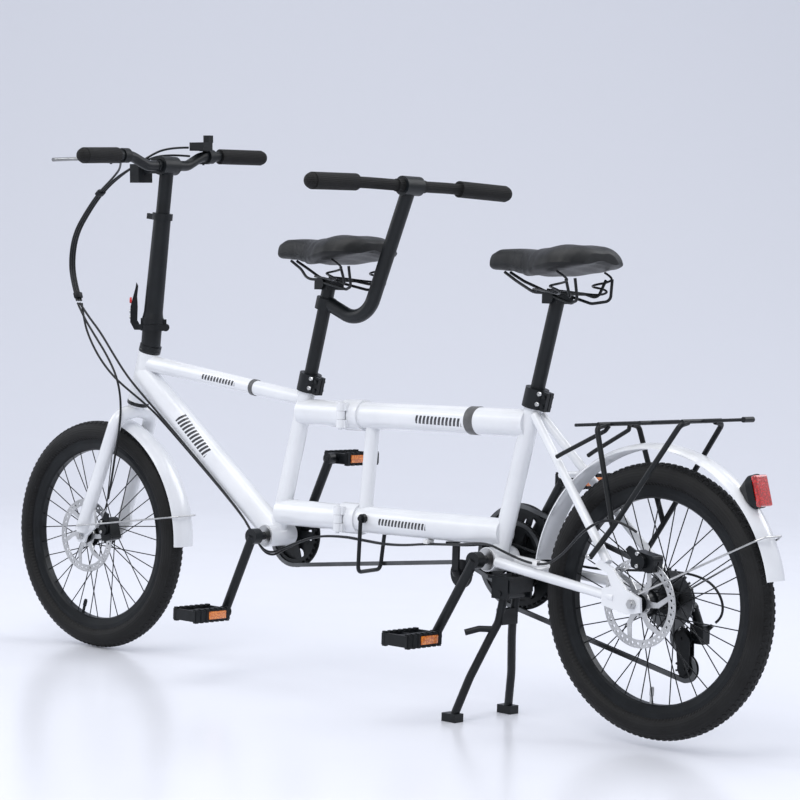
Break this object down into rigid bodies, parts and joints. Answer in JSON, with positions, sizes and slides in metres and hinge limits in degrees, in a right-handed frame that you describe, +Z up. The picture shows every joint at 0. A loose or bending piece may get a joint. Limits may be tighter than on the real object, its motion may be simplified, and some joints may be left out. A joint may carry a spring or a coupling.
{
  "type": "tandem bicycle",
  "caption": "Folding tandem bicycle with small wheels, straight white main tubes, tandem drivetrain, disc brakes, mudguards, rear rack and centre stand.",
  "frame": {"origin": "centre of the bounding box's footprint, on the floor", "axes": "+X towards the rear, +Y towards the riders' right, +Z up"},
  "size_m": [2.0491, 0.5909, 1.1272],
  "materials": {
    "white_paint": "gloss",
    "black_alloy": "satin",
    "bright_steel": "brushed",
    "chain_steel": "oiled",
    "tyre_rubber": "matt",
    "grip_rubber": "textured",
    "saddle_cover": "satin",
    "black_plastic": "matt",
    "red_lens": "gloss",
    "cable_cover": "semi-gloss"
  },
  "bodies": {
    "rear_frame": {"rear_frame": "white_paint", "rear_seat_clamp": "black_alloy", "rear_fender": "white_paint", "rear_fender_stays": "bright_steel", "tail_reflector": "red_lens", "luggage_rack": "black_alloy", "rear_axle": "bright_steel", "rear_caliper": "black_alloy", "derailleur": "black_alloy", "drive_chain": "chain_steel", "timing_chain": "chain_steel", "brackets": "black_alloy", "fold_stand": "black_alloy", "rear_cables": "cable_cover"},
    "front_frame": {"front_frame": "white_paint", "front_seat_clamp": "black_alloy", "frame_cables": "cable_cover"},
    "upper_latch": {"upper_latch": "black_alloy"},
    "lower_latch": {"lower_latch": "black_alloy"},
    "fork": {"fork": "white_paint", "stem_base": "black_alloy", "front_fender": "white_paint", "front_fender_stays": "bright_steel", "front_axle": "bright_steel", "front_caliper": "black_alloy", "fork_cable": "cable_cover"},
    "front_wheel": {"front_tyre": "tyre_rubber", "front_rim": "black_alloy", "front_hub": "black_alloy", "front_rotor": "bright_steel"},
    "rear_wheel": {"rear_tyre": "tyre_rubber", "rear_rim": "black_alloy", "rear_hub": "black_alloy", "rear_rotor": "bright_steel"},
    "freewheel": {"freewheel": "chain_steel"},
    "stem": {"stem_post": "black_alloy"},
    "stem_latch": {"stem_latch": "black_alloy"},
    "handlebar": {"bar_post": "black_alloy", "handlebar": "black_alloy", "bar_grips": "grip_rubber", "bar_controls": "black_plastic", "loop_cables": "cable_cover"},
    "left_brake_lever": {"left_brake_lever": "black_alloy"},
    "right_brake_lever": {"right_brake_lever": "black_alloy"},
    "front_seat": {"front_seatpost": "black_alloy", "front_saddle": "saddle_cover", "stoker_stem": "black_alloy", "stoker_bar": "grip_rubber"},
    "rear_seat": {"rear_seatpost": "black_alloy", "rear_saddle": "saddle_cover"},
    "front_cranks": {"front_crankset": "black_alloy"},
    "rear_cranks": {"rear_crankset": "black_alloy"},
    "front_left_pedal": {"front_left_pedal": "black_plastic"},
    "front_right_pedal": {"front_right_pedal": "black_plastic"},
    "rear_left_pedal": {"rear_left_pedal": "black_plastic"},
    "rear_right_pedal": {"rear_right_pedal": "black_plastic"},
    "idler": {"idler": "black_plastic"},
    "upper_pulley": {"upper_pulley": "black_plastic"},
    "lower_pulley": {"lower_pulley": "black_plastic"},
    "centre_stand": {"centre_stand": "black_alloy"}
  },
  "joints": [
    {"name": "frame_fold", "type": "hinge", "parent": "rear_frame", "child": "front_frame", "pos_m": [-0.017, -0.036, 0.46], "axis": [0, 0, 1], "range_deg": [0, 105], "deforming": ["timing_chain", "frame_cables", "rear_cables"]},
    {"name": "upper_latch_swing", "type": "hinge", "parent": "front_frame", "child": "upper_latch", "pos_m": [-0.026, 0.04, 0.556], "axis": [0, 0, -1], "range_deg": [0, 100]},
    {"name": "lower_latch_swing", "type": "hinge", "parent": "front_frame", "child": "lower_latch", "pos_m": [-0.026, 0.04, 0.344], "axis": [0, 0, -1], "range_deg": [0, 100]},
    {"name": "steering", "type": "hinge", "parent": "front_frame", "child": "fork", "pos_m": [-0.6345, 0, 0.657], "axis": [0.284, 0, 0.9588], "range_deg": [-47.8, 42.2], "deforming": ["frame_cables", "loop_cables", "fork_cable"]},
    {"name": "front_wheel_spin", "type": "hinge", "parent": "fork", "child": "front_wheel", "pos_m": [-0.78147, -0.00124, 0.24999], "axis": [-0.0468, 0.9988, 0.0139], "continuous": true},
    {"name": "rear_wheel_spin", "type": "hinge", "parent": "rear_frame", "child": "rear_wheel", "pos_m": [0.755, 0, 0.2658], "axis": [0, 1, 0], "continuous": true},
    {"name": "stem_latch_swing", "type": "hinge", "parent": "fork", "child": "stem_latch", "pos_m": [-0.64903, -0.02407, 0.70968], "axis": [0.7395, -0.6731, -0.0096], "range_deg": [0, 80]},
    {"name": "stem_fold", "type": "hinge", "parent": "fork", "child": "stem", "pos_m": [-0.60797, 0.02104, 0.71029], "axis": [-0.7395, 0.6731, 0.0096], "range_deg": [0, 95], "deforming": ["loop_cables", "fork_cable", "frame_cables"]},
    {"name": "bar_height", "type": "slide", "parent": "stem", "child": "handlebar", "axis": [0.1134, -0.0085, 0.9935], "range_m": [-0.07, 0.06], "deforming": ["loop_cables"]},
    {"name": "left_brake_pull", "type": "hinge", "parent": "handlebar", "child": "left_brake_lever", "pos_m": [-0.60269, -0.14876, 1.06353], "axis": [0.002, -0.0467, 0.9989], "range_deg": [0, 18], "stiffness_Nm_per_rad": 2, "springref_deg": -14.32},
    {"name": "right_brake_pull", "type": "hinge", "parent": "handlebar", "child": "right_brake_lever", "pos_m": [-0.62844, 0.13576, 1.07688], "axis": [-0.002, 0.0467, -0.9989], "range_deg": [0, 18], "stiffness_Nm_per_rad": 2, "springref_deg": -14.32},
    {"name": "front_seat_height", "type": "slide", "parent": "front_frame", "child": "front_seat", "axis": [0.2436, 0, 0.9699], "range_m": [-0.1, 0.05]},
    {"name": "rear_seat_height", "type": "slide", "parent": "rear_frame", "child": "rear_seat", "axis": [0.2436, 0, 0.9699], "range_m": [-0.12, 0.05]},
    {"name": "front_crank_spin", "type": "hinge", "parent": "front_frame", "child": "front_cranks", "pos_m": [-0.224, 0, 0.298], "axis": [0, 1, 0], "continuous": true},
    {"name": "rear_crank_spin", "type": "hinge", "parent": "rear_frame", "child": "rear_cranks", "pos_m": [0.377, 0, 0.3067], "axis": [0, 1, 0], "continuous": true},
    {"name": "front_left_pedal_spin", "type": "hinge", "parent": "front_cranks", "child": "front_left_pedal", "pos_m": [-0.28548, -0.084, 0.1395], "axis": [0, 1, 0], "continuous": true},
    {"name": "front_right_pedal_spin", "type": "hinge", "parent": "front_cranks", "child": "front_right_pedal", "pos_m": [-0.16252, 0.084, 0.45649], "axis": [0, 1, 0], "continuous": true},
    {"name": "rear_left_pedal_spin", "type": "hinge", "parent": "rear_cranks", "child": "rear_left_pedal", "pos_m": [0.29588, -0.084, 0.1573], "axis": [0, 1, 0], "continuous": true},
    {"name": "rear_right_pedal_spin", "type": "hinge", "parent": "rear_cranks", "child": "rear_right_pedal", "pos_m": [0.45812, 0.084, 0.4561], "axis": [0, 1, 0], "continuous": true},
    {"name": "idler_spin", "type": "hinge", "parent": "rear_frame", "child": "idler", "pos_m": [0.247, 0.048, 0.262], "axis": [0, 1, 0], "continuous": true},
    {"name": "upper_pulley_spin", "type": "hinge", "parent": "rear_frame", "child": "upper_pulley", "pos_m": [0.77, 0.059, 0.197], "axis": [0, 1, 0], "continuous": true},
    {"name": "lower_pulley_spin", "type": "hinge", "parent": "rear_frame", "child": "lower_pulley", "pos_m": [0.779, 0.059, 0.143], "axis": [0, 1, 0], "continuous": true},
    {"name": "freewheel_spin", "type": "hinge", "parent": "rear_frame", "child": "freewheel", "pos_m": [0.755, 0.054, 0.2658], "axis": [0, 1, 0], "continuous": true},
    {"name": "stand_fold", "type": "hinge", "parent": "rear_frame", "child": "centre_stand", "pos_m": [0.412, 0, 0.246], "axis": [0, -1, 0], "range_deg": [0, 68], "stiffness_Nm_per_rad": 8, "springref_deg": -11.46}
  ],
  "couplings": [
    {"joint": "rear_crank_spin", "follows": "front_crank_spin", "ratio": 1},
    {"joint": "idler_spin", "follows": "front_crank_spin", "ratio": -2.9091},
    {"joint": "upper_pulley_spin", "follows": "front_crank_spin", "ratio": -4.3636},
    {"joint": "lower_pulley_spin", "follows": "front_crank_spin", "ratio": 4.3636},
    {"joint": "freewheel_spin", "follows": "front_crank_spin", "ratio": 3}
  ]
}
